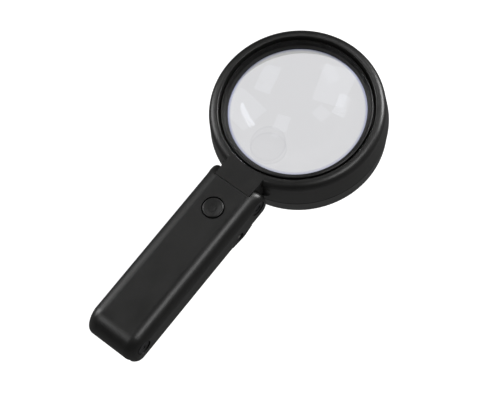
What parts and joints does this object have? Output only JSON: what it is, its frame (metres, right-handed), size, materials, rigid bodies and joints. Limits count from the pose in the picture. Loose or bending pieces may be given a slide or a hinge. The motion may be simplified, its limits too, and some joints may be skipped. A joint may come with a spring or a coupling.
{
  "type": "low vision magnifier",
  "caption": "Folding hand-held low vision magnifier: round lens in a lit ring head, hinged to a battery handle with a push button and a fold-out stand leg.",
  "frame": {"origin": "on the resting plane, straight below the axis of the hinge between head and handle, which is the middle of the object's footprint", "axes": "+Z out of the front of the lens, +Y from the hinge towards the head, handle towards -Y, X along the hinge pins"},
  "size_m": [0.1104, 0.2368, 0.0354],
  "materials": {
    "shell_plastic": "satin black moulded ABS with a fine texture",
    "button_plastic": "satin black",
    "lens_acrylic": "polished clear acrylic",
    "screw_steel": "zinc plated",
    "pin_steel": "blackened steel",
    "washer_nylon": "natural nylon",
    "diffuser_white": "frosted white polycarbonate",
    "circuit_board": "green solder mask",
    "switch_plastic": "moulded",
    "cell_case": "plain metallic sleeve",
    "contact_strip": "nickel plated strip",
    "wire_sleeve": "PVC sleeve",
    "lamp_epoxy": "clear epoxy",
    "resistor_body": "chip resistor"
  },
  "bodies": {
    "handle": {"handle_housing": "shell_plastic", "handle_back_cover": "shell_plastic", "battery_door": "shell_plastic", "battery_door_screw": "screw_steel", "handle_screws": "screw_steel", "leg_pivot_pins": "pin_steel", "leg_detent_pins": "pin_steel", "switch_board": "circuit_board", "switch_board_screws": "screw_steel", "switch_body": "switch_plastic", "battery_1": "cell_case", "battery_2": "cell_case", "battery_3": "cell_case", "battery_contacts_top": "contact_strip", "battery_contacts_bottom": "contact_strip", "battery_leads": "wire_sleeve", "lamp_lead_handle": "wire_sleeve", "hinge_pin_right": "pin_steel", "hinge_pin_left": "pin_steel", "hinge_washers": "washer_nylon"},
    "head": {"head_front_shell": "shell_plastic", "head_rear_cover": "shell_plastic", "main_lens": "lens_acrylic", "lens_bezel_ring": "shell_plastic", "lamp_diffuser_ring": "diffuser_white", "led_ring_board": "circuit_board", "led_1": "lamp_epoxy", "led_2": "lamp_epoxy", "led_3": "lamp_epoxy", "led_4": "lamp_epoxy", "led_5": "lamp_epoxy", "led_6": "lamp_epoxy", "led_7": "lamp_epoxy", "led_8": "lamp_epoxy", "led_resistors": "resistor_body", "head_screws": "screw_steel", "lamp_lead_head": "wire_sleeve"},
    "stand_leg": {"stand_leg": "shell_plastic"},
    "power_button": {"power_button": "button_plastic", "switch_plunger": "switch_plastic"}
  },
  "joints": [
    {"name": "head_fold", "type": "hinge", "parent": "handle", "child": "head", "pos_m": [0, 0, 0.0247], "axis": [-1, 0, 0], "range_deg": [0, 75]},
    {"name": "stand_leg", "type": "hinge", "parent": "handle", "child": "stand_leg", "pos_m": [0, -0.1072, 0.0247], "axis": [-1, 0, 0], "range_deg": [0, 90]},
    {"name": "power_button", "type": "slide", "parent": "handle", "child": "power_button", "axis": [0, 0, -1], "range_m": [0, 0.0005], "stiffness_N_per_m": 800, "springref_m": -0.0005}
  ]
}
